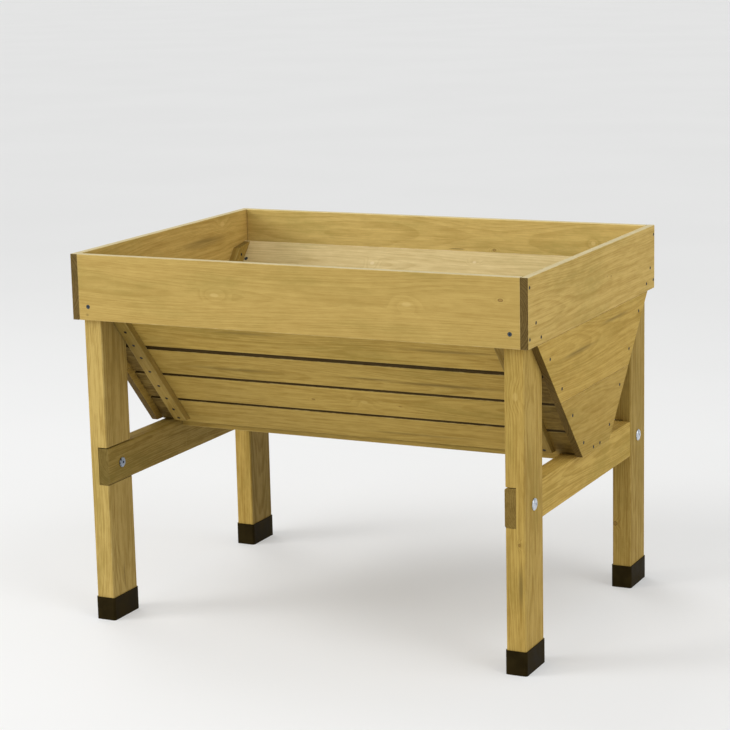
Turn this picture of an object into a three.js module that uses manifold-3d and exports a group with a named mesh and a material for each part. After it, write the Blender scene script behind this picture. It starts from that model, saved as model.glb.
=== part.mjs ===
// Raised planter on legs: a V-shaped trough of slatted boards under a four-board frame, on four legs
// joined in pairs by end rails.
//
// Millimetres. +Z is up, +X runs along the long side to the right, +Y runs from front to back.
// The origin is on the ground under the middle of the planter.

import * as THREE from 'three';
import { mergeVertices } from 'three/addons/utils/BufferGeometryUtils.js';
import Module from 'manifold-3d';

const wasm = await Module();
wasm.setup();

// ---------- driving dimensions ----------

const LENGTH = 1030;              // over the end boards, along X
const DEPTH = 756;                // over the front and rear boards, along Y
const HEIGHT = 802;
const GAP = 0.3;                  // clearance kept between touching pieces

const BOARD_THICKNESS = 16;       // every sawn board: frame, end panels and trough
const FRAME_BOARD_WIDTH = 140;
const BOARD_EASE = 1.5;           // eased arris on boards
const BATTEN_EASE = 1.2;

const LEG = { width: 42, depth: 96, ease: 3.5, clearOfGround: 2.8 };
const CAP = { wall: 1.8, floor: 2.5, height: 50 };

const RAIL = {
  top: 380.8, height: 80, thickness: 42, proud: 1.2, tongue: 24, ease: 4.5, endRecess: 0.7,
  headroom: 2.5,                  // left above a rail in a leg's housing
};

const SLOPE = THREE.MathUtils.degToRad(48.25);   // of the trough sides, from the horizontal
const RIM_Y = 330.6;              // half spread of the batten faces at the underside of the frame
const FLOOR_BOARD_WIDTH = 85;
const TOP_BOARD_START = -61;      // first slope board, measured down the slope from the frame's underside
const SLOPE_BOARDS = [             // from the top of a slope down
  { gapAbove: 0, width: 85 },
  { gapAbove: 8, width: 85 },
  { gapAbove: 12, width: 85 },
  { gapAbove: 8, width: 85 },
  { gapAbove: 7.5, width: 82 },
];

const BATTEN = { width: 30, thickness: 16, top: -44, bottomZ: 386, legGap: { left: 2.5, right: 8 } };
const CLEAT = { width: 34, thickness: 16, topNearZ: 727, topFarZ: 719 };
const END_PANEL = { bottomZ: 382, boardWidth: 139 };
const KEEL = { width: 94, bottomZ: 364.9 };

const BOLT = {
  y: { left: 307, right: 314 }, headRadius: 12.6, rimHeight: 1.2, headHeight: 4.2,
  shankRadius: 4, tipChamfer: 1, reach: 39,
};
const SLEEVE = {
  flangeRadius: 11, rimHeight: 1.4, flangeThickness: 3, barrelRadius: 5, barrelLength: 18, wallLeft: 2,
};
const BOLT_SOCKET = { acrossFlats: 5, depth: 2.2 };
const SCREW = { headRadius: 4.4, headDepth: 3.2, shankRadius: 2.4, length: 38 };
const SCREW_SOCKET = { acrossFlats: 3.4, depth: 1.6 };
const FRAME_SCREW = { x: 476.5, z: 691 };
const LEG_SCREW_DOWN = -10;       // place of the trough-to-leg screws, down the slope

// Pockets for the heads of the small screws. On a slope, a place is how deep into it and how far down it.
const POCKET = { radius: 4, coreRadius: 1.9, depth: 3.2 };
const RIM_SCREW_DROPS = [20, 121];            // into the long frame boards, below the top
const TOP_BOARD_SCREWS = { front: [[26, -39], [24, 3]], rear: [[19, -48], [17, -8]] };
const PANEL_SCREWS = {
  front: [[24, 74], [24, 171], [24, 261], [24, 356]],
  rear: [[22, 65], [22, 161], [22, 251], [22, 349]],
};
const FLOOR_SCREW_YS = [-17, 22];
const BATTEN_SCREW_DOWNS = [51, 97, 141, 190, 242, 288, 329, 361];
const CLEAT_SCREW_DOWNS = [-10, 110, 230, 340];

const CUT_MARGIN = 2;             // how far a cutter reaches past the face it opens
const MERGE_TOLERANCE = 1e-4;
const SEGMENTS = { arrisBevel: 2, roundedEdge: 4, dome: 4, screw: 16, hole: 24, bolt: 28 };

// ---------- sizes that follow from them ----------

const FRAME_BOTTOM = HEIGHT - FRAME_BOARD_WIDTH;
const END_INNER_X = LENGTH / 2 - BOARD_THICKNESS;
const SIDE_INNER_Y = DEPTH / 2 - BOARD_THICKNESS;
const LEG_OUTER_X = END_INNER_X - GAP;
const LEG_CENTRE_X = LEG_OUTER_X - LEG.width / 2;
const LEG_INNER_X = LEG_OUTER_X - LEG.width;
const LEG_OUTER_Y = SIDE_INNER_Y - GAP;
const LEG_CENTRE_Y = LEG_OUTER_Y - LEG.depth / 2;
const RAIL_INNER_X = LEG_INNER_X - RAIL.proud;
const RAIL_OUTER_X = RAIL_INNER_X + RAIL.thickness;
const TONGUE_OUTER_X = RAIL_INNER_X + RAIL.tongue;
const RAIL_CENTRE_Z = RAIL.top - RAIL.height / 2;
const BOARD_OUTER = BATTEN.thickness;            // depths behind the batten faces, square to the slope
const BOARD_INNER = BOARD_OUTER + BOARD_THICKNESS;
const CLEAT_INNER = BOARD_INNER + CLEAT.width;
const FLOOR_BOTTOM = END_PANEL.bottomZ + GAP;
const FLOOR_TOP = FLOOR_BOTTOM + BOARD_THICKNESS;

const X_AXIS = new THREE.Vector3(1, 0, 0);
const Y_AXIS = new THREE.Vector3(0, 1, 0);
const Z_AXIS = new THREE.Vector3(0, 0, 1);

const ENDS = [{ name: 'left', sign: -1 }, { name: 'right', sign: 1 }];
const SIDES = [{ name: 'front', sign: -1 }, { name: 'rear', sign: 1 }];
const CORNERS = SIDES.flatMap((side) => (
  ENDS.map((end) => ({ side, end, name: `${side.name}_${end.name}` }))
));

// ---------- materials ----------

function wood(color, roughness = 0.72) {
  return new THREE.MeshStandardMaterial({ color, roughness, metalness: 0 });
}

const MATERIALS = {
  frame: wood('#bda066'),
  leg: wood('#b3964f'),
  rail: wood('#b0934c'),
  panel: wood('#b4984f'),
  slope: wood('#9c8240', 0.78),
  batten: wood('#a98c47', 0.78),
  cap: new THREE.MeshStandardMaterial({ color: '#2c211a', roughness: 0.55, metalness: 0 }),
  zinc: new THREE.MeshStandardMaterial({ color: '#aeb6c2', roughness: 0.35, metalness: 0.9 }),
  blackSteel: new THREE.MeshStandardMaterial({ color: '#1f272c', roughness: 0.4, metalness: 0.8 }),
};

// ---------- shape helpers ----------

function outlineOf(points) {
  return new THREE.Shape(points.map(([x, y]) => new THREE.Vector2(x, y)));
}

// A plate of the given outline, its thickness centred on the outline's plane, with eased arrises.
function slab(points, thickness, ease) {
  const geometry = new THREE.ExtrudeGeometry(outlineOf(points), {
    depth: thickness - 2 * ease,
    bevelThickness: ease,
    bevelSize: ease,
    bevelOffset: -ease,
    bevelSegments: SEGMENTS.arrisBevel,
  });
  return geometry.translate(0, 0, ease - thickness / 2);
}

function board(length, width, ease = BOARD_EASE) {
  const [l, w] = [length / 2, width / 2];
  return slab([[-l, -w], [l, -w], [l, w], [-l, w]], BOARD_THICKNESS, ease);
}

// A bar with rounded long edges, its length centred on the local Z axis.
function bar(width, depth, length, radius) {
  const [x, y] = [width / 2 - radius, depth / 2 - radius];
  const shape = new THREE.Shape();
  const corners = [[x, y, 0], [-x, y, Math.PI / 2], [-x, -y, Math.PI], [x, -y, -Math.PI / 2]];
  for (const [cx, cy, start] of corners) {
    shape.absarc(cx, cy, radius, start, start + Math.PI / 2, false);
  }
  const options = { depth: length, bevelEnabled: false, curveSegments: SEGMENTS.roundedEdge };
  const geometry = new THREE.ExtrudeGeometry(shape, options);
  return geometry.translate(0, 0, -length / 2);
}

// A turned piece about the local Z axis.
function turned(profile, segments) {
  const points = profile.map(([radius, z]) => new THREE.Vector2(radius, z));
  return new THREE.LatheGeometry(points, segments).rotateX(Math.PI / 2);
}

// Profile points of a low dome, from its rim at baseZ up to its crown at topZ on the axis.
function dome(radius, baseZ, topZ) {
  const points = [];
  for (let step = 0; step < SEGMENTS.dome; step += 1) {
    const angle = (step / SEGMENTS.dome) * Math.PI / 2;
    points.push([radius * Math.cos(angle), baseZ + (topZ - baseZ) * Math.sin(angle)]);
  }
  return [...points, [0, topZ]];
}

// A hexagonal socket that opens at z = 0 and reaches down to -depth.
function hexSocket({ acrossFlats, depth }) {
  const radius = acrossFlats / Math.sqrt(3);
  const prism = new THREE.CylinderGeometry(radius, radius, depth + CUT_MARGIN, 6);
  return prism.rotateX(Math.PI / 2).translate(0, 0, (CUT_MARGIN - depth) / 2);
}

function basis(along, across) {
  return new THREE.Matrix4().makeBasis(along, across, along.clone().cross(across));
}

function toSolid(geometry) {
  const bare = geometry.clone();
  bare.deleteAttribute('normal');
  bare.deleteAttribute('uv');
  const merged = mergeVertices(bare, MERGE_TOLERANCE);
  return new wasm.Manifold(new wasm.Mesh({
    numProp: 3,
    vertProperties: new Float32Array(merged.attributes.position.array),
    triVerts: new Uint32Array(merged.index.array),
  }));
}

function toGeometry(solid) {
  const mesh = solid.getMesh();
  const geometry = new THREE.BufferGeometry();
  geometry.setAttribute('position', new THREE.BufferAttribute(mesh.vertProperties, 3));
  geometry.setIndex(new THREE.BufferAttribute(mesh.triVerts, 1));
  geometry.computeVertexNormals();
  return geometry;
}

function cut(geometry, ...cutters) {
  let solid = toSolid(geometry);
  for (const cutter of cutters) {
    solid = solid.subtract(toSolid(cutter));
  }
  return toGeometry(solid);
}

function piece(name, geometry, material) {
  const mesh = new THREE.Mesh(geometry, material);
  mesh.name = name;
  return mesh;
}

// A point of the trough's side: down the slope from the frame's underside, and in from the batten faces.
function onSlope(side, down, depth) {
  return {
    y: side.sign * (RIM_Y - depth * Math.sin(SLOPE) - down * Math.cos(SLOPE)),
    z: FRAME_BOTTOM + depth * Math.cos(SLOPE) - down * Math.sin(SLOPE),
  };
}

// The same side at a given height: how far down the slope that is, at a depth.
function downAt(z, depth) {
  return (FRAME_BOTTOM + depth * Math.cos(SLOPE) - z) / Math.sin(SLOPE);
}

function slopeOutward(side) {
  return new THREE.Vector3(0, side.sign * Math.sin(SLOPE), -Math.cos(SLOPE));
}

// ---------- fasteners ----------

// Countersunk screw along -Z, its head flush with z = 0. Grown by `clearance`, it cuts its own hole.
function screwShape(clearance = 0) {
  const head = SCREW.headRadius + clearance;
  const shank = SCREW.shankRadius + clearance;
  const tip = -SCREW.length - clearance;
  const profile = [[0, tip], [shank, tip + 2 * shank], [shank, -SCREW.headDepth], [head, -clearance]];
  const top = clearance > 0 ? [[head, CUT_MARGIN], [0, CUT_MARGIN]] : [[0, 0]];
  return turned([...profile, ...top], SEGMENTS.screw);
}

const SCREW_PIECE = cut(screwShape(), hexSocket(SCREW_SOCKET));

// Turns a shape made along Z so that its +Z end faces `outward`, with z = 0 at the given point.
function facing(geometry, outward, x, y, z) {
  const turn = new THREE.Quaternion().setFromUnitVectors(Z_AXIS, outward);
  return geometry.clone().applyQuaternion(turn).translate(x, y, z);
}

function frameScrewShape(side, end, geometry) {
  const outward = Y_AXIS.clone().multiplyScalar(side.sign);
  return facing(geometry, outward, end.sign * FRAME_SCREW.x, side.sign * DEPTH / 2, FRAME_SCREW.z);
}

function legScrewShape(side, end, geometry) {
  const { y, z } = onSlope(side, LEG_SCREW_DOWN, BOARD_INNER);
  return facing(geometry, slopeOutward(side).negate(), end.sign * LEG_CENTRE_X, y, z);
}

// The pocket for a small screw's head, opening at z = 0.
function screwPocket() {
  const { radius, coreRadius, depth } = POCKET;
  const profile = [[0, -depth], [coreRadius, -depth], [radius, 0], [radius, CUT_MARGIN], [0, CUT_MARGIN]];
  return turned(profile, SEGMENTS.screw);
}

const SCREW_POCKET = screwPocket();

// Pockets in the faces at x that look along `outward`, at places on that side's slope.
function slopePockets(side, places, x, outward) {
  return places.map(([depth, down]) => {
    const { y, z } = onSlope(side, down, depth);
    return facing(SCREW_POCKET, outward, x, y, z);
  });
}

function screws() {
  return CORNERS.flatMap(({ side, end, name }) => [
    piece(`frame_screw_${name}`, frameScrewShape(side, end, SCREW_PIECE), MATERIALS.blackSteel),
    piece(`leg_screw_${name}`, legScrewShape(side, end, SCREW_PIECE), MATERIALS.blackSteel),
  ]);
}

function boltHole(end, y, radius, innerX, outerX) {
  const hole = new THREE.CylinderGeometry(radius, radius, outerX - innerX, SEGMENTS.hole);
  return hole.rotateZ(Math.PI / 2).translate(end.sign * (innerX + outerX) / 2, y, RAIL_CENTRE_Z);
}

function boltShape() {
  const { headRadius, rimHeight, headHeight, shankRadius, tipChamfer, reach } = BOLT;
  const profile = [
    [0, -reach], [shankRadius - tipChamfer, -reach], [shankRadius, tipChamfer - reach], [shankRadius, 0],
    [headRadius, 0], ...dome(headRadius, rimHeight, headHeight),
  ];
  return cut(turned(profile, SEGMENTS.bolt), hexSocket(BOLT_SOCKET).translate(0, 0, headHeight));
}

function sleeveShape() {
  const { flangeRadius, rimHeight, flangeThickness, barrelRadius, barrelLength, wallLeft } = SLEEVE;
  const bore = BOLT.shankRadius + GAP;
  const profile = [
    [0, -wallLeft], [bore, -wallLeft], [bore, -barrelLength], [barrelRadius, -barrelLength],
    [barrelRadius, 0], [flangeRadius, 0], ...dome(flangeRadius, rimHeight, flangeThickness),
  ];
  return cut(turned(profile, SEGMENTS.bolt), hexSocket(BOLT_SOCKET).translate(0, 0, flangeThickness));
}

function bolts() {
  const [bolt, sleeve] = [boltShape(), sleeveShape()];
  return CORNERS.flatMap(({ side, end, name }) => {
    const outward = X_AXIS.clone().multiplyScalar(end.sign);
    const [y, z] = [side.sign * BOLT.y[end.name], RAIL_CENTRE_Z];
    const boltX = end.sign * (LEG_OUTER_X + GAP);
    const sleeveX = end.sign * (RAIL_INNER_X - GAP);
    return [
      piece(`bolt_${name}`, facing(bolt, outward, boltX, y, z), MATERIALS.zinc),
      piece(`sleeve_nut_${name}`, facing(sleeve, outward.clone().negate(), sleeveX, y, z), MATERIALS.zinc),
    ];
  });
}

// ---------- legs, caps and rails ----------

// Everything above the slope boards' outer face at a leg, for cutting its top.
function aboveSlope(side) {
  const size = HEIGHT / 2;
  const { y, z } = onSlope(side, 0, BOARD_OUTER - GAP + size / 2);
  const block = new THREE.BoxGeometry(size, size, size);
  return block.rotateX(side.sign * (SLOPE - Math.PI / 2)).translate(0, y, z);
}

function leg(side, end) {
  const length = HEIGHT - BOARD_THICKNESS - LEG.clearOfGround;
  const body = bar(LEG.width, LEG.depth, length, LEG.ease);
  body.translate(end.sign * LEG_CENTRE_X, side.sign * LEG_CENTRE_Y, LEG.clearOfGround + length / 2);
  const slanted = aboveSlope(side).translate(end.sign * LEG_CENTRE_X, 0, 0);
  const housingInnerX = LEG_INNER_X - CUT_MARGIN;
  const housingOuterX = TONGUE_OUTER_X + GAP;
  const housingBottomZ = RAIL.top - RAIL.height - GAP;
  const housingTopZ = RAIL.top + RAIL.headroom;
  const housing = new THREE.BoxGeometry(
    housingOuterX - housingInnerX, LEG.depth + 2 * CUT_MARGIN, housingTopZ - housingBottomZ,
  );
  const housingX = end.sign * (housingInnerX + housingOuterX) / 2;
  housing.translate(housingX, side.sign * LEG_CENTRE_Y, (housingBottomZ + housingTopZ) / 2);
  const [holeInnerX, holeOuterX] = [TONGUE_OUTER_X - CUT_MARGIN, LEG_OUTER_X + CUT_MARGIN];
  return cut(
    body, slanted, housing,
    boltHole(end, side.sign * BOLT.y[end.name], BOLT.shankRadius + GAP, holeInnerX, holeOuterX),
    frameScrewShape(side, end, screwShape(GAP)),
    legScrewShape(side, end, screwShape(GAP)),
  );
}

function footCap(side, end) {
  const spread = 2 * (CAP.wall + GAP);
  const outside = bar(LEG.width + spread, LEG.depth + spread, CAP.height, LEG.ease + CAP.wall);
  const inside = bar(LEG.width + 2 * GAP, LEG.depth + 2 * GAP, CAP.height, LEG.ease);
  return cut(outside, inside.translate(0, 0, CAP.floor))
    .translate(end.sign * LEG_CENTRE_X, side.sign * LEG_CENTRE_Y, CAP.height / 2);
}

function endRail(end) {
  const length = 2 * (LEG_OUTER_Y - RAIL.endRecess);
  const body = bar(RAIL.thickness, RAIL.height, length, RAIL.ease).rotateX(Math.PI / 2);
  body.translate(end.sign * (RAIL_INNER_X + RAIL_OUTER_X) / 2, 0, RAIL_CENTRE_Z);
  const shoulderY = LEG_OUTER_Y - LEG.depth - GAP;
  const sleeveRadius = SLEEVE.barrelRadius + GAP;
  const cutters = SIDES.flatMap((side) => {
    const lap = new THREE.BoxGeometry(RAIL.thickness, 2 * LEG.depth, 2 * RAIL.height);
    const x = end.sign * (TONGUE_OUTER_X + RAIL.thickness / 2);
    return [
      lap.translate(x, side.sign * (shoulderY + LEG.depth), RAIL_CENTRE_Z),
      boltHole(end, side.sign * BOLT.y[end.name], sleeveRadius, RAIL_INNER_X - CUT_MARGIN, RAIL_OUTER_X),
    ];
  });
  return cut(body, ...cutters);
}

function stand() {
  const group = new THREE.Group();
  for (const { side, end, name } of CORNERS) {
    group.add(piece(`leg_${name}`, leg(side, end), MATERIALS.leg));
    group.add(piece(`foot_cap_${name}`, footCap(side, end), MATERIALS.cap));
  }
  for (const end of ENDS) group.add(piece(`end_rail_${end.name}`, endRail(end), MATERIALS.rail));
  return group;
}

// ---------- frame ----------

function longFrameBoard(side) {
  const upright = basis(X_AXIS, Z_AXIS);
  const body = board(2 * (END_INNER_X - GAP), FRAME_BOARD_WIDTH).applyMatrix4(upright);
  body.translate(0, side.sign * (DEPTH - BOARD_THICKNESS) / 2, HEIGHT - FRAME_BOARD_WIDTH / 2);
  return cut(body, ...ENDS.map((end) => frameScrewShape(side, end, screwShape(GAP))));
}

// Stands a shape drawn in the Y-Z plane at its place along X.
function standAt(geometry, x) {
  return geometry.applyMatrix4(basis(Y_AXIS, Z_AXIS)).translate(x, 0, 0);
}

function endFrameBoard(end) {
  const outward = X_AXIS.clone().multiplyScalar(end.sign);
  const face = end.sign * LENGTH / 2;
  const body = standAt(board(DEPTH, FRAME_BOARD_WIDTH), face - end.sign * BOARD_THICKNESS / 2);
  body.translate(0, 0, HEIGHT - FRAME_BOARD_WIDTH / 2);
  const rimY = (DEPTH - BOARD_THICKNESS) / 2;
  const pockets = SIDES.flatMap((side) => [
    ...RIM_SCREW_DROPS.map((drop) => facing(SCREW_POCKET, outward, face, side.sign * rimY, HEIGHT - drop)),
    ...slopePockets(side, TOP_BOARD_SCREWS[side.name], face, outward),
  ]);
  return cut(body, ...pockets);
}

function frame() {
  const group = new THREE.Group();
  for (const side of SIDES) {
    group.add(piece(`frame_board_${side.name}`, longFrameBoard(side), MATERIALS.frame));
  }
  for (const end of ENDS) {
    group.add(piece(`frame_board_${end.name}`, endFrameBoard(end), MATERIALS.frame));
  }
  return group;
}

// ---------- trough ----------

// One board of an end panel: as wide as the trough at both of its heights.
function panelBoard(bottomZ, topZ) {
  const rear = SIDES[1];
  const bottomY = onSlope(rear, downAt(bottomZ, 0), 0).y;
  const topY = onSlope(rear, downAt(topZ, 0), 0).y;
  const outline = [[-bottomY, bottomZ], [bottomY, bottomZ], [topY, topZ], [-topY, topZ]];
  return slab(outline, BOARD_THICKNESS, BOARD_EASE);
}

// A stick that lies along the slope, drawn by its corners as (down, depth) in the Y-Z plane.
function slopeStick(side, corners, thickness) {
  const points = corners.map(([down, depth]) => {
    const { y, z } = onSlope(side, down, depth);
    return [y, z];
  });
  return slab(points, thickness, BATTEN_EASE);
}

function batten(side, end) {
  const corners = [
    [BATTEN.top, 0], [BATTEN.top, BOARD_OUTER - GAP],
    [downAt(BATTEN.bottomZ, BOARD_OUTER - GAP), BOARD_OUTER - GAP], [downAt(BATTEN.bottomZ, 0), 0],
  ];
  const x = end.sign * (LEG_INNER_X - BATTEN.legGap[end.name] - BATTEN.width / 2);
  const body = standAt(slopeStick(side, corners, BATTEN.width), x);
  const places = BATTEN_SCREW_DOWNS.map((down) => [0, down]);
  return cut(body, ...slopePockets(side, places, x, slopeOutward(side)));
}

function cornerCleat(side, end) {
  const [near, far] = [BOARD_INNER + GAP, CLEAT_INNER];
  const bottomZ = FLOOR_TOP + GAP;
  const corners = [
    [downAt(CLEAT.topNearZ, near), near], [downAt(CLEAT.topFarZ, far), far],
    [downAt(bottomZ, far), far], [downAt(bottomZ, near), near],
  ];
  const outerX = END_INNER_X - GAP;
  const body = standAt(slopeStick(side, corners, CLEAT.thickness), end.sign * (outerX - CLEAT.thickness / 2));
  const places = CLEAT_SCREW_DOWNS.map((down) => [(near + far) / 2, down]);
  const inward = X_AXIS.clone().multiplyScalar(-end.sign);
  return cut(body, ...slopePockets(side, places, end.sign * (outerX - CLEAT.thickness), inward));
}

function endPanel(end) {
  const { bottomZ, boardWidth } = END_PANEL;
  const outward = X_AXIS.clone().multiplyScalar(end.sign);
  const face = end.sign * LENGTH / 2;
  const middle = face - end.sign * BOARD_THICKNESS / 2;
  const lower = standAt(panelBoard(bottomZ, bottomZ + boardWidth), middle);
  const upper = standAt(panelBoard(bottomZ + boardWidth + GAP, FRAME_BOTTOM - GAP), middle);
  const floorZ = (FLOOR_BOTTOM + FLOOR_TOP) / 2;
  const pockets = [
    ...SIDES.flatMap((side) => slopePockets(side, PANEL_SCREWS[side.name], face, outward)),
    ...FLOOR_SCREW_YS.map((y) => facing(SCREW_POCKET, outward, face, y, floorZ)),
  ];
  return [
    piece(`end_panel_lower_${end.name}`, cut(lower, ...pockets), MATERIALS.panel),
    piece(`end_panel_upper_${end.name}`, cut(upper, ...pockets), MATERIALS.panel),
  ];
}

// The room that a rail takes under the trough.
function railRoom(end) {
  const height = RAIL.top + GAP;
  const room = new THREE.BoxGeometry(2 * RAIL.thickness, DEPTH, height);
  return room.translate(end.sign * (RAIL_INNER_X - GAP + RAIL.thickness), 0, height / 2);
}

// The top slope board takes the leg screws, and the lowest one is notched over the rails.
function slopeBoardCuts(side, index) {
  if (index === 0) return ENDS.map((end) => legScrewShape(side, end, screwShape(GAP)));
  if (index === SLOPE_BOARDS.length - 1) return ENDS.map(railRoom);
  return [];
}

function slopeBoards(side) {
  const downSlope = new THREE.Vector3(0, -side.sign * Math.cos(SLOPE), -Math.sin(SLOPE));
  const lying = basis(X_AXIS, downSlope);
  let start = TOP_BOARD_START;
  return SLOPE_BOARDS.map(({ gapAbove, width }, index) => {
    start += gapAbove;
    const { y, z } = onSlope(side, start + width / 2, (BOARD_OUTER + BOARD_INNER) / 2);
    const body = board(2 * (END_INNER_X - GAP), width).applyMatrix4(lying).translate(0, y, z);
    start += width;
    const geometry = cut(body, ...slopeBoardCuts(side, index));
    return piece(`slope_board_${side.name}_${index + 1}`, geometry, MATERIALS.slope);
  });
}

function flatBoard(name, length, width, bottomZ) {
  const mesh = piece(name, board(length, width), MATERIALS.slope);
  mesh.position.z = bottomZ + BOARD_THICKNESS / 2;
  return mesh;
}

function trough() {
  const group = new THREE.Group();
  for (const side of SIDES) group.add(...slopeBoards(side));
  for (const end of ENDS) group.add(...endPanel(end));
  for (const { side, end, name } of CORNERS) {
    group.add(piece(`batten_${name}`, batten(side, end), MATERIALS.batten));
    group.add(piece(`corner_cleat_${name}`, cornerCleat(side, end), MATERIALS.batten));
  }
  group.add(flatBoard('floor_board', 2 * (END_INNER_X - GAP), FLOOR_BOARD_WIDTH, FLOOR_BOTTOM));
  group.add(flatBoard('keel_board', 2 * (RAIL_INNER_X - 2 * GAP), KEEL.width, KEEL.bottomZ));
  return group;
}

// ---------- the planter ----------

const planter = new THREE.Group();
planter.add(stand(), frame(), trough(), ...bolts(), ...screws());

export default planter;
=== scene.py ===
# Raised planter on legs: camera, studio, timber, metal and plastic looks, and its small screws.
import math
import random

import bmesh
import bpy
from mathutils import Matrix, Vector


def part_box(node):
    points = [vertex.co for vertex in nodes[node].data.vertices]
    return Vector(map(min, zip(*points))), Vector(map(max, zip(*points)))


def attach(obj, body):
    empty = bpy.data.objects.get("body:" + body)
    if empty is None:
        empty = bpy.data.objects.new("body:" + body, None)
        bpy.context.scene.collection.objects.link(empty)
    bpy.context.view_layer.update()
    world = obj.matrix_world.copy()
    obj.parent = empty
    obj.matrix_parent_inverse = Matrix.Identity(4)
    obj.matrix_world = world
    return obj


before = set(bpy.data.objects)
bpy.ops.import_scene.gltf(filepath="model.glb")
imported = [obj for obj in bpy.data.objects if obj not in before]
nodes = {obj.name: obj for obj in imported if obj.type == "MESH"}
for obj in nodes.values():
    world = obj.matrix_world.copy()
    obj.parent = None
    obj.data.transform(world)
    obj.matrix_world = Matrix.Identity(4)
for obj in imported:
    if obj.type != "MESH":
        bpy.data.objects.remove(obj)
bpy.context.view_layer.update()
MM = 0.001
X = Vector((1, 0, 0))
Y = Vector((0, 1, 0))
Z = Vector((0, 0, 1))

# ---------------------------------------------------------------- the trough's slope
SLOPE = math.radians(48.25)
SLOPE_START_Y = 330.6 * MM
SLOPE_START_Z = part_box("frame_board_front")[0].z
CORNERS = [(end, side) for end in ("front", "rear") for side in ("left", "right")]
TOWARDS = {"front": -1, "rear": 1, "left": -1, "right": 1}


def down_slope(end):
    """Unit vector down the trough's long side at that end."""
    return Vector((0, -TOWARDS[end] * math.cos(SLOPE), -math.sin(SLOPE)))


def into_slope(end):
    """Unit vector square to that long side, into the trough."""
    return Vector((0, -TOWARDS[end] * math.sin(SLOPE), math.cos(SLOPE)))


def on_slope(end, x, depth, down):
    """The point at x that lies that deep into the long side and that far down it."""
    start = Vector((x, TOWARDS[end] * SLOPE_START_Y, SLOPE_START_Z))
    return start + into_slope(end) * depth + down_slope(end) * down


# ---------------------------------------------------------------- shader building
class Graph:
    """Adds shader nodes to a tree, each call returning the new node's output."""

    def __init__(self, tree):
        self.tree = tree

    def put(self, socket, value):
        if isinstance(value, bpy.types.NodeSocket):
            self.tree.links.new(value, socket)
        else:
            socket.default_value = value

    def add(self, kind, inputs=(), out=0, **settings):
        node = self.tree.nodes.new("ShaderNode" + kind)
        for key, value in settings.items():
            setattr(node, key, value)
        pairs = inputs.items() if isinstance(inputs, dict) else enumerate(inputs)
        for key, value in pairs:
            self.put(node.inputs[key], value)
        return node.outputs[out]

    def calc(self, operation, *values, clamp=False):
        return self.add("Math", values, operation=operation, use_clamp=clamp)

    def vector(self, operation, *values):
        return self.add("VectorMath", values, operation=operation)

    def length(self, vector):
        return self.add("VectorMath", (vector,), out="Value", operation="LENGTH")

    def dot(self, a, b):
        return self.add("VectorMath", (a, b), out="Value", operation="DOT_PRODUCT")

    def noise(self, vector, stretch, detail=2.0, roughness=0.5, out=0):
        scaled = self.vector("MULTIPLY", vector, stretch)
        inputs = {"Vector": scaled, "Scale": 1.0, "Detail": detail, "Roughness": roughness}
        return self.add("TexNoise", inputs, out=out)

    def ramp(self, value, start, stop, low=0.0, high=1.0):
        return self.add("MapRange", (value, start, stop, low, high), interpolation_type="SMOOTHSTEP")

    def mix(self, factor, a, b, kind="MIX"):
        inputs = {0: factor, 6: a, 7: b}
        return self.add("Mix", inputs, out=2, data_type="RGBA", blend_type=kind)


def new_group(name, inputs, outputs):
    """An empty node group with those sockets: its graph, its inputs by name and its output node."""
    tree = bpy.data.node_groups.new(name, "ShaderNodeTree")
    for way, table in (("INPUT", inputs), ("OUTPUT", outputs)):
        for label, kind in table.items():
            tree.interface.new_socket(name=label, in_out=way, socket_type="NodeSocket" + kind)
    source = tree.nodes.new("NodeGroupInput")
    return Graph(tree), {s.name: s for s in source.outputs if s.name}, tree.nodes.new("NodeGroupOutput")


def new_material(name):
    """A node material: itself, its graph and its Principled shader."""
    material = bpy.data.materials.new(name)
    material.use_nodes = True
    return material, Graph(material.node_tree), material.node_tree.nodes["Principled BSDF"]


def wear(node, material):
    """Gives that object the material in place of any it has."""
    node.data.materials.clear()
    node.data.materials.append(material)


def rgba(red, green, blue):
    return (red, green, blue, 1.0)


# ---------------------------------------------------------------- timber
EARLYWOOD = rgba(0.520, 0.362, 0.106)
LATEWOOD = rgba(0.360, 0.232, 0.056)
OLIVE = rgba(0.350, 0.252, 0.062)
DARK_STREAK = rgba(0.235, 0.160, 0.044)
KNOT_HEART = rgba(0.270, 0.145, 0.036)
KNOT_RIM = rgba(0.080, 0.046, 0.016)
PALE_HEART = rgba(0.640, 0.470, 0.175)
# Pale arrises: partly wear, partly a painted highlight.
ARRIS_WEAR_AND_HIGHLIGHT = rgba(0.660, 0.510, 0.235)
END_GRAIN = rgba(0.16, 0.14, 0.12)
# The paler colour of upward faces: painted light from above.
PAINTED_TOP_LIGHT = rgba(0.62, 0.55, 0.34)
MEAN_SHADE = 0.40
# Painted shade: darkens the narrow faces in the gaps between boards and downward faces near their ends.
PAINTED_SHADE = rgba(0.20, 0.18, 0.17)
MARK_KINDS = ("Knot", "Swirl", "Stain", "Crack")
# Noise cells in a metre: along the grain, across it and through the board.
WANDERS = (1.3, 0.5, 0.5)
RIPPLES = (5, 26, 26)
BLOTCHES = (3.4, 13, 13)
STREAKS = (4.0, 105, 105)
FIBRES = (16, 620, 620)
MOTTLES = (26, 75, 75)
CHIPS = (60, 60, 60)
YEARS = (70, 1, 1)
# Lengths in metres.
RING_WIDTH = 4.2 * MM
PITH_DRIFT = 0.070
KNOT_PUSH = 0.007
RIPPLE_DEPTH = 0.006
CHIP_DEPTH = 0.0035
# How far from a board's end the painted shade begins, and where it reaches full strength.
END_SHADE_REACH = (0.062, 0.036)
ARRIS_PALE_REACH = (0.0036, 0.0014)


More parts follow.
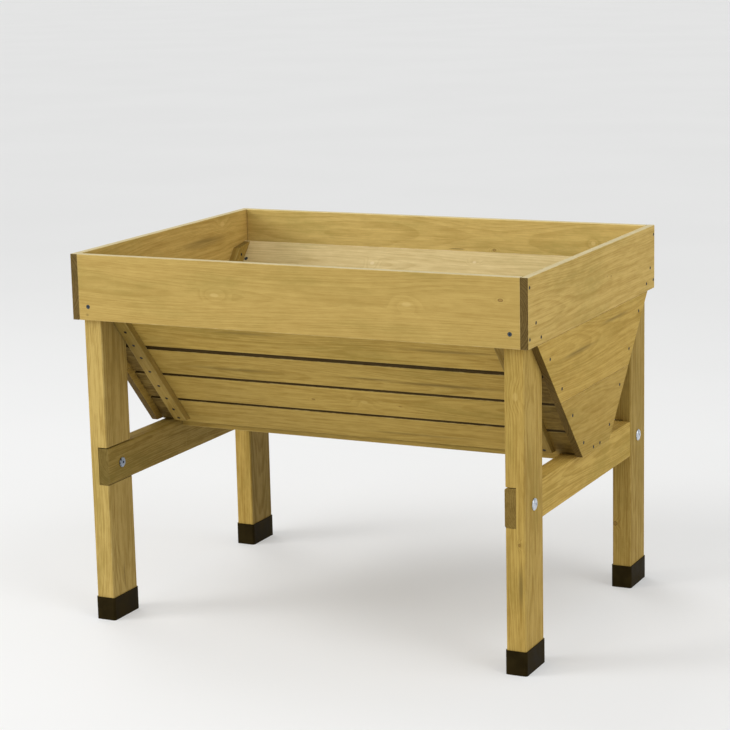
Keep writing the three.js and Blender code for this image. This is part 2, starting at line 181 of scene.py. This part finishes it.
def growth_rings(g, given, seeded):
    """How deep into its ring's dark latewood a point lies. The pith wanders, and knots push the rings."""
    wander = g.noise(seeded, WANDERS, detail=1.0, out="Color")
    spread = Vector((0, PITH_DRIFT, PITH_DRIFT))
    drift = g.vector("MULTIPLY_ADD", wander, spread, -spread / 2)
    core = g.vector("MULTIPLY_ADD", g.vector("SUBTRACT", given["Place"], given["Pith"]), (0, 1, 1), drift)
    ripple = g.noise(seeded, RIPPLES, detail=2.0)
    lump = g.calc("MINIMUM", given["Knot"], given["Swirl"])
    pushed = g.calc("MULTIPLY", g.ramp(lump, 4.0, 0.6), KNOT_PUSH)
    radius = g.calc("ADD", g.calc("MULTIPLY_ADD", ripple, RIPPLE_DEPTH, g.length(core)), pushed)
    uneven = g.noise(g.add("CombineXYZ", (radius, 0.0, 0.0)), YEARS, detail=1.0)
    band = g.calc("FRACT", g.calc("MULTIPLY_ADD", radius, 1 / RING_WIDTH, g.calc("MULTIPLY", uneven, 3.0)))
    return g.calc("MULTIPLY", g.ramp(band, 0.25, 0.86), g.ramp(band, 1.0, 0.90))


def add_marks(g, given, color, streak):
    """Draws knots, swirls, dark streaks and cracks. Returns the colour, the knots' rims and the cracks."""
    heart = g.ramp(given["Knot"], 1.12, 0.86)
    rim = g.calc("MULTIPLY", heart, g.ramp(given["Knot"], 0.55, 0.98))
    pale = g.ramp(given["Swirl"], 1.0, 0.5, 0.0, 0.40)
    grey = g.ramp(given["Stain"], 1.1, 0.1, 0.0, 0.95)
    crack = g.ramp(given["Crack"], 1.0, 0.55)
    color = g.mix(g.calc("MULTIPLY", grey, g.ramp(streak, 0.30, 0.60, 0.35, 1.0)), color, DARK_STREAK)
    color = g.mix(pale, color, PALE_HEART)
    color = g.mix(g.calc("MULTIPLY", heart, 0.62), color, KNOT_HEART)
    color = g.mix(g.calc("MULTIPLY", rim, 0.70), color, KNOT_RIM)
    return g.mix(g.calc("MULTIPLY", crack, 0.80), color, KNOT_RIM), rim, crack


def add_age(g, given, color, seeded, late, mottle):
    """Soaks the end grain, paints shade onto the narrow faces in the gaps and onto downward faces near the
    ends, and pales the arrises, partly as wear and partly as a painted highlight.
    """
    normal = g.add("TexCoord", out="Normal")
    end = g.ramp(g.calc("ABSOLUTE", g.dot(normal, given["Axis"])), 0.45, 0.74)
    soaked = g.calc("MULTIPLY", g.calc("MULTIPLY", end, given["Soak"]), g.ramp(late, 0.0, 1.0, 0.92, 1.0))
    color = g.mix(soaked, color, END_GRAIN, kind="MULTIPLY")
    # Painted shade on the narrow faces that look into the gaps between boards.
    edge = g.ramp(g.calc("ABSOLUTE", g.dot(normal, given["Across"])), 0.50, 0.90)
    color = g.mix(g.calc("MULTIPLY", edge, given["PaintedShade"]), color, PAINTED_SHADE, kind="MULTIPLY")
    room = g.vector("SUBTRACT", given["Half"], g.vector("ABSOLUTE", given["Place"]))
    split = g.tree.nodes.new("ShaderNodeSeparateXYZ")
    g.put(split.inputs[0], room)
    from_end, from_edge, from_face = split.outputs
    # Painted shade on downward faces near a board's ends, patchy with the mottle.
    downward = g.ramp(g.dot(normal, Z), 0.0, -0.3)
    painted_end_shade = g.calc("MULTIPLY", g.ramp(from_end, *END_SHADE_REACH), downward)
    painted_end_shade = g.calc("MULTIPLY", painted_end_shade, given["PaintedShade"])
    painted_end_shade = g.calc("MULTIPLY", painted_end_shade, g.ramp(mottle, 0.3, 0.7, 0.62, 0.86))
    color = g.mix(painted_end_shade, color, PAINTED_SHADE, kind="MULTIPLY")

    # An arris is where two of the three distances are small, so the middle one says how near it is.
    arris = g.calc("MINIMUM", g.calc("MAXIMUM", from_end, from_edge), from_face)
    arris = g.calc("MAXIMUM", g.calc("MINIMUM", from_end, from_edge), arris)
    ragged = g.calc("MULTIPLY_ADD", g.noise(seeded, CHIPS), CHIP_DEPTH, arris)
    # Arrises painted paler: partly wear, partly a painted highlight.
    worn_and_highlit = g.calc("MULTIPLY", g.ramp(ragged, *ARRIS_PALE_REACH), g.ramp(end, 0.0, 1.0, 0.50, 0.05))
    return g.mix(worn_and_highlit, color, ARRIS_WEAR_AND_HIGHLIGHT)


def add_tone(g, given, color, mottle):
    """Gives the board its tone, painted shade on a +X face and painted light on ±Y faces where it has
    them, and upward faces paled by painted light from above.
    """
    normal = g.add("TexCoord", out="Normal")
    color = g.vector("MULTIPLY", color, given["Tint"])
    # Painted light on the ±Y faces and painted shade on the +X face, as strong as Shaded says.
    lit = g.calc("ABSOLUTE", g.dot(normal, Y))
    shaded = g.calc("MAXIMUM", g.dot(normal, X), 0.0)
    painted_face_light = g.calc("MULTIPLY_ADD", g.calc("SUBTRACT", lit, shaded), given["Shaded"], 1.0)
    color = g.vector("MULTIPLY", color, painted_face_light)
    # Painted light from above: upward faces paler, patchy with the mottle.
    painted_top_light = g.calc("MULTIPLY", g.ramp(g.dot(normal, Z), 0.35, 0.90), given["TopLight"])
    painted_top_light = g.calc("MULTIPLY", painted_top_light, g.ramp(mottle, 0.30, 0.70, 1.0, 0.70))
    return g.mix(painted_top_light, color, PAINTED_TOP_LIGHT)


def timber_group():
    """Softwood all through a board: x runs along the grain, y across the face, z through it."""
    inputs = dict.fromkeys(("Place", "Half", "Pith", "Seed", "Axis", "Across", "Tint"), "Vector")
    inputs.update(dict.fromkeys((*MARK_KINDS, "Contrast", "PaintedShade", "Soak", "TopLight", "Shaded"), "Float"))
    outputs = {"Color": "Color", "Roughness": "Float", "Height": "Float"}
    g, given, result = new_group("timber", inputs, outputs)
    seeded = g.vector("ADD", given["Place"], given["Seed"])
    late = growth_rings(g, given, seeded)

    # Streaks, fibres and blotches of treatment along the grain.
    blotch = g.noise(seeded, BLOTCHES, detail=3.0)
    streak = g.noise(seeded, STREAKS, detail=4.0, roughness=0.65)
    fibre = g.noise(seeded, FIBRES, detail=2.0, roughness=0.6)
    mottle = g.noise(seeded, MOTTLES, detail=4.0, roughness=0.65)
    shade = g.calc("MULTIPLY", late, g.ramp(blotch, 0.35, 0.65, 0.16, 0.40))
    shade = g.calc("ADD", shade, g.ramp(streak, 0.28, 0.74, 0.0, 0.44))
    shade = g.calc("ADD", shade, g.ramp(mottle, 0.30, 0.72, -0.05, 0.22))
    shade = g.calc("ADD", shade, g.ramp(fibre, 0.28, 0.74, -0.18, 0.24))
    swing = g.calc("SUBTRACT", shade, MEAN_SHADE)
    shade = g.calc("MULTIPLY_ADD", swing, given["Contrast"], MEAN_SHADE, clamp=True)
    color = g.mix(shade, EARLYWOOD, LATEWOOD)
    patchy = g.ramp(mottle, 0.32, 0.68, 0.45, 1.0)
    treated = g.calc("MULTIPLY", g.ramp(blotch, 0.46, 0.74, 0.0, 0.75), patchy)
    color = g.mix(treated, color, OLIVE)

    color, rim, crack = add_marks(g, given, color, streak)
    color = add_age(g, given, color, seeded, late, mottle)
    color = add_tone(g, given, color, mottle)
    rough = g.ramp(shade, 0.0, 1.0, 0.66, 0.80)
    raised = g.calc("MULTIPLY_ADD", late, 0.35, g.calc("MULTIPLY", fibre, 0.9))
    sunk = g.calc("MULTIPLY_ADD", crack, 2.0, g.calc("MULTIPLY", rim, 0.6))
    height = g.calc("SUBTRACT", raised, sunk)
    for label, value in (("Color", color), ("Roughness", rough), ("Height", height)):
        g.put(result.inputs[label], value)
    return g.tree


TIMBER = timber_group()
FAR_SPOT = 9.0


class Board:
    """One piece of timber: its grain, its face, and its place along, across and through."""

    def __init__(self, name, grain, face):
        self.name = name
        self.object = nodes[name]
        self.turn = Matrix((grain, face.cross(grain), face))
        corners = [self.turn @ v.co for v in self.object.data.vertices]
        low = Vector(min(c[i] for c in corners) for i in range(3))
        high = Vector(max(c[i] for c in corners) for i in range(3))
        self.middle = (low + high) / 2
        self.half = (high - low) / 2
        self.grain = grain

    def local(self, point):
        return self.turn @ Vector(point) - self.middle


def spots(g, place, board, marks):
    """Distance, in radii, to the nearest mark (x, y, z, reach along, reach across), all in millimetres.
    A mark goes right through the board, or right across it if its last value says "edge"."""
    nearest = None
    for x, y, z, along, across, *where in marks:
        middle = board.local(Vector((x, y, z)) * MM)
        side = 1 / (across * MM)
        scale = Vector((1 / (along * MM), 0, side) if where else (1 / (along * MM), side, 0))
        shift = Vector([-m * s for m, s in zip(middle, scale)])
        away = g.length(g.vector("MULTIPLY_ADD", place, scale, shift))
        nearest = away if nearest is None else g.calc("MINIMUM", nearest, away)
    return FAR_SPOT if nearest is None else nearest


def paint_timber(board, seed, pith, tint, strengths, marks):
    """Gives the board its own length of timber."""
    material, g, shader = new_material("timber_" + board.name)
    mapping = {"Vector": g.add("TexCoord", out="Object"), "Location": -board.middle,
               "Rotation": board.turn.to_euler()}
    place = g.add("Mapping", mapping)
    group = material.node_tree.nodes.new("ShaderNodeGroup")
    group.node_tree = TIMBER
    values = {"Place": place, "Half": board.half, "Pith": pith, "Seed": seed, "Axis": board.grain,
              "Across": board.turn[1], "Tint": tint, **strengths}
    for kind in MARK_KINDS:
        values[kind] = spots(g, place, board, marks.get(kind, ()))
    for label, value in values.items():
        g.put(group.inputs[label], value)
    bump = {"Strength": 0.45, "Distance": 0.0007, "Height": group.outputs["Height"]}
    g.put(shader.inputs["Base Color"], group.outputs["Color"])
    g.put(shader.inputs["Roughness"], group.outputs["Roughness"])
    g.put(shader.inputs["Normal"], g.add("Bump", bump))
    shader.inputs["Specular IOR Level"].default_value = 0.14
    wear(board.object, material)


boards = {}


def add_board(name, grain, face):
    boards[name] = Board(name, grain, face)


for end in ("front", "rear"):
    add_board(f"frame_board_{end}", X, Y * TOWARDS[end])
    for number in range(1, 6):
        add_board(f"slope_board_{end}_{number}", X, into_slope(end))
for side in ("left", "right"):
    outward = X * TOWARDS[side]
    for kind in ("frame_board", "end_panel_upper", "end_panel_lower", "end_rail"):
        add_board(f"{kind}_{side}", Y, outward)
for end, side in CORNERS:
    add_board(f"leg_{end}_{side}", Z, X * TOWARDS[side])
    add_board(f"batten_{end}_{side}", down_slope(end), into_slope(end))
    add_board(f"corner_cleat_{end}_{side}", down_slope(end), into_slope(end))
add_board("floor_board", X, Z)
add_board("keel_board", X, Z)

# Marks of single boards: x, y, z, reach along the grain, reach across it, in millimetres.
MARKS = {
    "frame_board_front": {
        "Knot": [(458, -378, 756, 5.5, 3.2)],
        "Swirl": [(-171, -378, 732, 13, 5), (260, -378, 737, 13, 6)],
        "Stain": [(-479, -378, 674, 5, 4)],
    },
    "frame_board_rear": {
        "Knot": [(140, 362, 731, 4, 3)],
        "Swirl": [(378, 362, 757, 7, 6)],
        "Crack": [(48, 362, 730, 24, 0.9)],
    },
    "frame_board_left": {"Swirl": [(-499, 243, 782, 12, 8)], "Stain": [(-499, 150, 750, 120, 14)]},
    "frame_board_right": {"Knot": [(515, 93, 732, 3, 2), (515, 70, 735, 2.4, 1.6)]},
    "slope_board_rear_1": {"Swirl": [(-147, 317, 695, 7, 6), (105, 328, 707, 6, 4)]},
    "slope_board_front_2": {"Stain": [(-141, -287, 637, 120, 6), (308, -277, 626, 140, 7)]},
    "slope_board_front_3": {
        "Stain": [(-241, -199, 538, 150, 7), (92, -201, 541, 80, 6), (250, -198, 537, 170, 8)],
    },
    "slope_board_front_4": {
        "Knot": [(-73, -141, 473, 4, 3), (131, -140, 472, 3, 2)],
        "Swirl": [(49, -144, 476, 11, 8)],
    },
    "slope_board_front_5": {"Stain": [(145, -73, 397, 160, 6)]},
    "end_panel_upper_right": {"Stain": [(515, -94, 609, 130, 7), (515, 120, 640, 110, 6)]},
    "leg_front_right": {
        "Knot": [(486, -362, 268, 3.5, 2.6, "edge")],
        "Swirl": [(480, -362, 565, 11, 7, "edge")],
        "Stain": [(489, -362, 182, 56, 8, "edge")],
    },
    "leg_rear_right": {"Knot": [(463, 266, 146, 5, 5, "edge")]},
    "leg_front_left": {"Crack": [(-457, -315, 90, 40, 0.8)]},
    # end_rail_left's two thin pale Swirl marks are painted light: streaks of light through the trough's
    # gaps onto the rail's inner face.
    "end_rail_left": {"Swirl": [(-456, -34, 328, 1.2, 18), (-455, 62, 329, 1.2, 12)]},
}
# How light each board is, where it differs from its kind: partly the board's own tone, partly painted
# light on boards that face the light and painted shade on those in shade.
TONES_AND_PAINTED_LIGHT = {
    "batten_front_left": 0.67,
    "batten_front_right": 0.60,
    "end_panel_lower_right": 0.89,
    "end_panel_upper_right": 1.02,
    "end_rail_left": 0.58,
    "end_rail_right": 1.06,
    "frame_board_front": 1.02,
    "frame_board_left": 1.23,
    "frame_board_rear": 1.44,
    "frame_board_right": 1.13,
    "leg_front_left": 0.915,
    "leg_front_right": 0.91,
    "leg_rear_left": 0.712,
    "leg_rear_right": 0.75,
    "slope_board_front_2": 1.00,
    "slope_board_front_3": 0.93,
    "slope_board_front_4": 0.96,
    "slope_board_front_5": 0.92,
    "slope_board_rear_1": 1.35,
}


def look(hue, contrast, painted_shade=0.0, soak=0.6, top_light=0.0, shaded=0.0):
    """A kind of board: its hue, how strong its grain, its painted shade in the gaps and near the ends, and
    its dark end grain are, how pale painted light from above makes its upward faces, and how much darker
    its +X face is than the faces beside it, painted shade on the one and painted light on the others."""
    strengths = {"Contrast": contrast, "PaintedShade": painted_shade, "Soak": soak, "TopLight": top_light, "Shaded": shaded}
    return Vector(hue), strengths


# Kinds of board, by the start of a node's name. The first that fits is taken.
KINDS = {
    # The frame boards' values paint light from above onto their upward faces.
    "frame_board_front": look((1.0, 1.0, 1.00), 0.78, soak=0.95, top_light=0.85),
    "frame_board_rear": look((1.0, 1.08, 1.25), 1.1, soak=0.95, top_light=0.85),
    "frame_board": look((1.0, 1.0, 1.00), 1.1, soak=0.95, top_light=0.85),
    # The slope boards' values below paint shade into their gaps and near their ends.
    "slope_board_rear_1": look((1.0, 1.15, 1.95), 0.9, painted_shade=0.4),
    "slope_board": look((1.0, 0.98, 0.79), 1.5, painted_shade=1.0),
    # The two left legs' shaded values paint shade on their inner +X faces and light on their ±Y faces.
    "leg_front_left": look((1.0, 1.02, 1.05), 1.9, shaded=0.115),
    "leg_rear_left": look((1.0, 0.97, 0.82), 1.9, shaded=0.32),
    "leg": look((1.0, 0.97, 0.82), 1.9),
    "end_rail_right": look((1.0, 0.97, 0.78), 1.6, soak=0.75),
    "end_rail_left": look((1.0, 1.0, 0.80), 2.2, soak=0.45),
    "end": look((1.0, 0.96, 0.75), 1.2, soak=0.90),
    "": look((1.0, 0.98, 0.80), 1.4),
}
FIRST_TIMBER_SEED = 11
SEED_REACH = 20

for index, name in enumerate(sorted(boards)):
    board = boards[name]
    draw = random.Random(index + FIRST_TIMBER_SEED)
    seed = Vector([draw.uniform(-SEED_REACH, SEED_REACH) for _ in range(3)])
    pith_across = draw.uniform(-0.5, 0.5) * board.half.y
    pith_side = -draw.choice((-1, 1))
    pith_depth = board.half.y * draw.uniform(0.5, 0.9) + 0.02
    hue, strengths = next(KINDS[kind] for kind in KINDS if name.startswith(kind))
    tint = hue * TONES_AND_PAINTED_LIGHT.get(name, draw.uniform(0.80, 0.95))
    pith = Vector((0, pith_across, pith_side * pith_depth))
    paint_timber(board, seed, pith, tint, strengths, MARKS.get(name, {}))


# ---------------------------------------------------------------- plastic and metal
# Darkest and lightest colour of each.
PLASTIC_BROWNS = (rgba(0.0140, 0.0090, 0.0018), rgba(0.0240, 0.0162, 0.0040))
ZINC_GREYS = (rgba(0.50, 0.55, 0.62), rgba(0.72, 0.75, 0.80))
# A darker copy of the zinc, for the sleeve nuts: painted shade, and its wide light and dark patches are a
# painted reflection.
SHADED_ZINC_GREYS = (rgba(0.025, 0.035, 0.055), rgba(0.40, 0.46, 0.56))
BLUED_GREYS = (rgba(0.026, 0.038, 0.048), rgba(0.060, 0.080, 0.095))
BLACK_GREYS = (rgba(0.010, 0.009, 0.008), rgba(0.026, 0.023, 0.020))


def clouded(g, shader, cells, colors, roughness):
    """Colour and roughness that drift in soft clouds, with that many noise cells in a metre."""
    cloud = g.noise(g.add("TexCoord", out="Object"), (cells, cells, cells), detail=3.0)
    g.put(shader.inputs["Base Color"], g.mix(g.ramp(cloud, 0.3, 0.7), *colors))
    g.put(shader.inputs["Roughness"], g.ramp(cloud, 0.3, 0.7, *roughness))


def grained(g, shader, cells, detail, strength, depth):
    """A fine relief, depth in metres."""
    grain = g.noise(g.add("TexCoord", out="Object"), cells, detail=detail)
    relief = {"Strength": strength, "Distance": depth, "Height": grain}
    g.put(shader.inputs["Normal"], g.add("Bump", relief))


def moulded_plastic(g, shader):
    clouded(g, shader, 30, PLASTIC_BROWNS, (0.46, 0.62))
    grained(g, shader, (1600, 1600, 1600), 1.0, strength=0.35, depth=0.0003)
    shader.inputs["Specular IOR Level"].default_value = 0.03


def plated(g, shader, greys):
    clouded(g, shader, 180, greys, (0.26, 0.42))
    grained(g, shader, (900, 900, 60), 2.0, strength=0.2, depth=0.0002)
    shader.inputs["Metallic"].default_value = 1.0


def coated_steel(g, shader, greys):
    clouded(g, shader, 400, greys, (0.40, 0.58))
    shader.inputs["Metallic"].default_value = 0.2
    shader.inputs["Specular IOR Level"].default_value = 0.3


def paint(names, label, build, *colors):
    """Gives those CAD nodes one material whose nodes that function builds."""
    material, g, shader = new_material(label)
    build(g, shader, *colors)
    for name in names:
        wear(nodes[name], material)
    return material


def at_corners(*kinds):
    return [f"{kind}_{end}_{side}" for kind in kinds for end, side in CORNERS]


paint(at_corners("foot_cap"), "moulded_plastic", moulded_plastic)
paint(at_corners("bolt"), "zinc", plated, ZINC_GREYS)
# The sleeve nuts, on the legs' inner faces, wear zinc darkened with painted shade.
paint(at_corners("sleeve_nut"), "zinc_painted_shade", plated, SHADED_ZINC_GREYS)
paint(at_corners("frame_screw", "leg_screw"), "blued_steel", coated_steel, BLUED_GREYS)
SMALL_SCREW_STEEL = paint((), "dark_steel", coated_steel, BLACK_GREYS)

# ---------------------------------------------------------------- small screws
HEAD_SIDES = 24
# In millimetres, but for the recess's taper, which is its floor's size over its mouth's.
HEAD_RADIUS = 3.65
HEAD_SINK = 0.15
HEAD_ARRIS = 0.3
HEAD_DEPTH = 2.8
CORE_RADIUS = 1.5
CROSS = {"reach": 2.0, "half_width": 0.48, "depth": 1.5, "taper": 0.45}


def cross_outline(reach, half_width):
    """The twelve corners of a cross, from the foot of the arm along +X, anticlockwise."""
    corners = []
    for quarter in range(4):
        turn = Matrix.Rotation(quarter * math.pi / 2, 2)
        for x, y in ((reach, -half_width), (reach, half_width), (half_width, half_width)):
            corners.append(turn @ Vector((x, y)))
    return corners


def screw_head():
    """One countersunk head in millimetres, its face up just under z = 0, with a cross recess."""
    mesh = bmesh.new()

    def circle(radius, height):
        turns = [2 * math.pi * (k - 1) / HEAD_SIDES for k in range(HEAD_SIDES)]
        return [mesh.verts.new((radius * math.cos(t), radius * math.sin(t), height)) for t in turns]

    def cross(scale, height):
        outline = cross_outline(CROSS["reach"] * scale, CROSS["half_width"] * scale)
        return [mesh.verts.new((*corner, height)) for corner in outline]

    def wall(upper, lower):
        for k in range(len(upper)):
            after = (k + 1) % len(upper)
            mesh.faces.new((upper[k], lower[k], lower[after], upper[after]))

    rim = circle(HEAD_RADIUS - HEAD_ARRIS, -HEAD_SINK)
    shoulder = circle(HEAD_RADIUS, -HEAD_SINK - HEAD_ARRIS)
    core = circle(CORE_RADIUS, -HEAD_DEPTH)
    mouth = cross(1.0, -HEAD_SINK)
    bottom = cross(CROSS["taper"], -HEAD_SINK - CROSS["depth"])
    wall(rim, shoulder)
    wall(shoulder, core)
    wall(mouth, bottom)
    for k, corner in enumerate(mouth):
        first = 2 * k
        around = (rim[first], rim[first + 1], rim[(first + 2) % HEAD_SIDES])
        mesh.faces.new((corner, *around, mouth[(k + 1) % len(mouth)]))
    mesh.faces.new(bottom)
    mesh.faces.new(core)
    bmesh.ops.recalc_face_normals(mesh, faces=mesh.faces)
    data = bpy.data.meshes.new("screw_head")
    mesh.to_mesh(data)
    mesh.free()
    return data


HEAD = screw_head()


def add_screws(name, places, seed):
    """One piece holding a screw head at each (point, outward direction)."""
    draw = random.Random(seed)
    mesh = bmesh.new()
    for point, outward in places:
        facing = outward.to_track_quat("Z", "Y").to_matrix().to_4x4()
        spin = Matrix.Rotation(draw.uniform(0, math.pi), 4, "Z")
        put = Matrix.Translation(point) @ facing @ spin @ Matrix.Scale(MM, 4)
        first = len(mesh.verts)
        mesh.from_mesh(HEAD)
        mesh.verts.ensure_lookup_table()
        bmesh.ops.transform(mesh, matrix=put, verts=mesh.verts[first:])
    data = bpy.data.meshes.new(name)
    mesh.to_mesh(data)
    mesh.free()
    data.materials.append(SMALL_SCREW_STEEL)
    piece = bpy.data.objects.new(name, data)
    bpy.context.scene.collection.objects.link(piece)
    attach(piece, "root")


# Places in millimetres, one for each pocket. On a slope they are how deep into it and how far down it.
FRAME_SCREWS_BELOW_TOP = (20, 121)
TOP_BOARD_SCREWS = {"front": ((26, -39), (24, 3)), "rear": ((19, -48), (17, -8))}
PANEL_SCREWS = {
    "front": ((24, 74), (24, 171), (24, 261), (24, 356)),
    "rear": ((22, 65), (22, 161), (22, 251), (22, 349)),
}
FLOOR_SCREWS_Y = (-17, 22)
BATTEN_SCREWS_DOWN = (51, 97, 141, 190, 242, 288, 329, 361)
CLEAT_SCREWS_DOWN = (-10, 110, 230, 340)
CLEAT_MID_DEPTH = 49.15
# Each piece's heads are turned by its own draw.
SEEDS = {"frame_end": 3, "panel": 7, "batten": 20, "cleat": 30}


def slope_places(end, x, places, outward):
    """The points on that long side, each with the way its screw faces."""
    return [(on_slope(end, x, depth * MM, down * MM), outward) for depth, down in places]


def face_towards(name, side):
    """Where along X that node's face on that side is."""
    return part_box(name)[0 if side == "left" else 1].x


def add_end_screws(side):
    """The screws in that side's frame board and end panel."""
    outward = X * TOWARDS[side]
    face = face_towards(f"frame_board_{side}", side)
    floor_low, floor_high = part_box("floor_board")
    floor_middle = (floor_low.z + floor_high.z) / 2
    frame_places = []
    panel_places = [(Vector((face, y * MM, floor_middle)), outward) for y in FLOOR_SCREWS_Y]
    for end in ("front", "rear"):
        low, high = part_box(f"frame_board_{end}")
        for below in FRAME_SCREWS_BELOW_TOP:
            frame_places.append((Vector((face, (low.y + high.y) / 2, high.z - below * MM)), outward))
        frame_places += slope_places(end, face, TOP_BOARD_SCREWS[end], outward)
        panel_places += slope_places(end, face, PANEL_SCREWS[end], outward)
    add_screws(f"frame_end_screws_{side}", frame_places, SEEDS["frame_end"] + TOWARDS[side])
    add_screws(f"panel_screws_{side}", panel_places, SEEDS["panel"] + TOWARDS[side])


def add_corner_screws(index, end, side):
    """The screws in that corner's batten and cleat."""
    low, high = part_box(f"batten_{end}_{side}")
    places = [(0, down) for down in BATTEN_SCREWS_DOWN]
    places = slope_places(end, (low.x + high.x) / 2, places, -into_slope(end))
    add_screws(f"batten_screws_{end}_{side}", places, SEEDS["batten"] + index)
    inner_side = "right" if side == "left" else "left"
    face = face_towards(f"corner_cleat_{end}_{side}", inner_side)
    places = [(CLEAT_MID_DEPTH, down) for down in CLEAT_SCREWS_DOWN]
    places = slope_places(end, face, places, X * TOWARDS[inner_side])
    add_screws(f"cleat_screws_{end}_{side}", places, SEEDS["cleat"] + index)


for side in ("left", "right"):
    add_end_screws(side)
for index, (end, side) in enumerate(CORNERS):
    add_corner_screws(index, end, side)

# ---------------------------------------------------------------- studio
FLOOR_RADIUS = 160.0
FLOOR_CLOUDS = (0.8, 0.8, 0.8)
FLOOR_GREYS = (rgba(0.50, 0.503, 0.50), rgba(0.512, 0.515, 0.512))
# The floor glows with painted light, less far away, and a painted shadow dims its glow under the trough.
PAINTED_GLOW_CENTRE = (-1.5, -1.0, 0.0)
PAINTED_GLOW_REACH = (0.5, 6.0)
PAINTED_GLOW = (0.36, 0.262)
PAINTED_SHADOW_CENTRE = (0.2, 0.08, 0.0)
PAINTED_SHADOW_REACH = (0.1, 0.55)
PAINTED_SHADOW = (0.6, 1.0)
WORLD_STRENGTH = 0.56
SUN_ANGLE = math.radians(25)
TARGET = Vector((0, 0, 0.4))
# Area lights: place, size and power, aimed at the target.
AREAS = {"low_left_front": ((-3.2, -2.6, 1.7), 2.0, 45), "right": ((4.0, 0.8, 2.5), 2.0, 20)}
# Broad soft suns: azimuth from +X towards +Y and elevation, both in degrees, and power.
SUNS = {
    "left_front": (215, 28, 0.74),
    "high_front": (250, 52, 0.34),
    "right_front": (340, 28, 0.26),
    "high_right": (340, 52, 0.31),
    "high_back_left": (140, 52, 0.48),
}


def add_floor():
    mesh = bmesh.new()
    bmesh.ops.create_circle(mesh, cap_ends=True, segments=96, radius=FLOOR_RADIUS)
    data = bpy.data.meshes.new("studio_floor")
    mesh.to_mesh(data)
    mesh.free()
    material, g, shader = new_material("studio_floor")
    place = g.add("TexCoord", out="Object")
    cloud = g.noise(place, FLOOR_CLOUDS)
    g.put(shader.inputs["Base Color"], g.mix(g.ramp(cloud, 0.3, 0.7), *FLOOR_GREYS))
    # Painted light: the floor glows, less far away.
    painted_glow = g.ramp(g.length(g.vector("SUBTRACT", place, PAINTED_GLOW_CENTRE)), *PAINTED_GLOW_REACH, *PAINTED_GLOW)
    # Painted shadow: the floor's glow dimmed under the trough.
    shade = g.ramp(g.length(g.vector("SUBTRACT", place, PAINTED_SHADOW_CENTRE)), *PAINTED_SHADOW_REACH, *PAINTED_SHADOW)
    g.put(shader.inputs["Emission Strength"], g.calc("MULTIPLY", painted_glow, shade))
    shader.inputs["Emission Color"].default_value = rgba(1.0, 1.0, 1.0)
    shader.inputs["Roughness"].default_value = 0.9
    shader.inputs["Specular IOR Level"].default_value = 0.1
    data.materials.append(material)
    floor = bpy.data.objects.new("studio_floor", data)
    bpy.context.scene.collection.objects.link(floor)


def add_light(name, kind, power, source):
    """A light that shines back along source, the direction that it lies in."""
    data = bpy.data.lights.new(name, kind)
    data.energy = power
    lamp = bpy.data.objects.new(name, data)
    lamp.rotation_euler = (-source).to_track_quat("-Z", "Y").to_euler()
    bpy.context.scene.collection.objects.link(lamp)
    return lamp


def add_area(name, place, size, power):
    lamp = add_light(name, "AREA", power, Vector(place) - TARGET)
    lamp.location = place
    lamp.data.shape = "DISK"
    lamp.data.size = size


def add_sun(name, azimuth, elevation, power):
    level = math.cos(elevation)
    source = Vector((math.cos(azimuth) * level, math.sin(azimuth) * level, math.sin(elevation)))
    add_light(name, "SUN", power, source).data.angle = SUN_ANGLE


def add_world():
    world = bpy.data.worlds.new("studio")
    world.use_nodes = True
    background = world.node_tree.nodes["Background"]
    background.inputs["Color"].default_value = rgba(1.0, 1.0, 1.0)
    background.inputs["Strength"].default_value = WORLD_STRENGTH
    bpy.context.scene.world = world


add_floor()
add_world()
for name, (place, size, power) in AREAS.items():
    add_area(name, place, size, power)
for name, (azimuth, elevation, power) in SUNS.items():
    add_sun(name, math.radians(azimuth), math.radians(elevation), power)
bpy.context.scene.view_settings.view_transform = "Standard"

# ---------------------------------------------------------------- camera
CAMERA_PLACE = Vector((2.03807, -4.21614, 1.48073))
CAMERA_YAW = -0.45356
CAMERA_PITCH = 0.20114
CAMERA_ROLL = -0.02334
CAMERA_LENS = 108.457
SENSOR_WIDTH = 36.0


def add_camera():
    level = math.cos(CAMERA_PITCH)
    forward = Vector((math.sin(CAMERA_YAW) * level, math.cos(CAMERA_YAW) * level, -math.sin(CAMERA_PITCH)))
    flat_right = Vector((math.cos(CAMERA_YAW), -math.sin(CAMERA_YAW), 0))
    flat_up = flat_right.cross(forward)
    right = flat_right * math.cos(CAMERA_ROLL) + flat_up * math.sin(CAMERA_ROLL)
    up = flat_up * math.cos(CAMERA_ROLL) - flat_right * math.sin(CAMERA_ROLL)
    camera = bpy.data.objects.new("camera", bpy.data.cameras.new("camera"))
    bpy.context.scene.collection.objects.link(camera)
    turn = Matrix((right, up, -forward)).transposed()
    camera.matrix_world = Matrix.Translation(CAMERA_PLACE) @ turn.to_4x4()
    camera.data.sensor_width = SENSOR_WIDTH
    camera.data.lens = CAMERA_LENS
    camera.data.clip_end = 2 * FLOOR_RADIUS
    bpy.context.scene.camera = camera


add_camera()
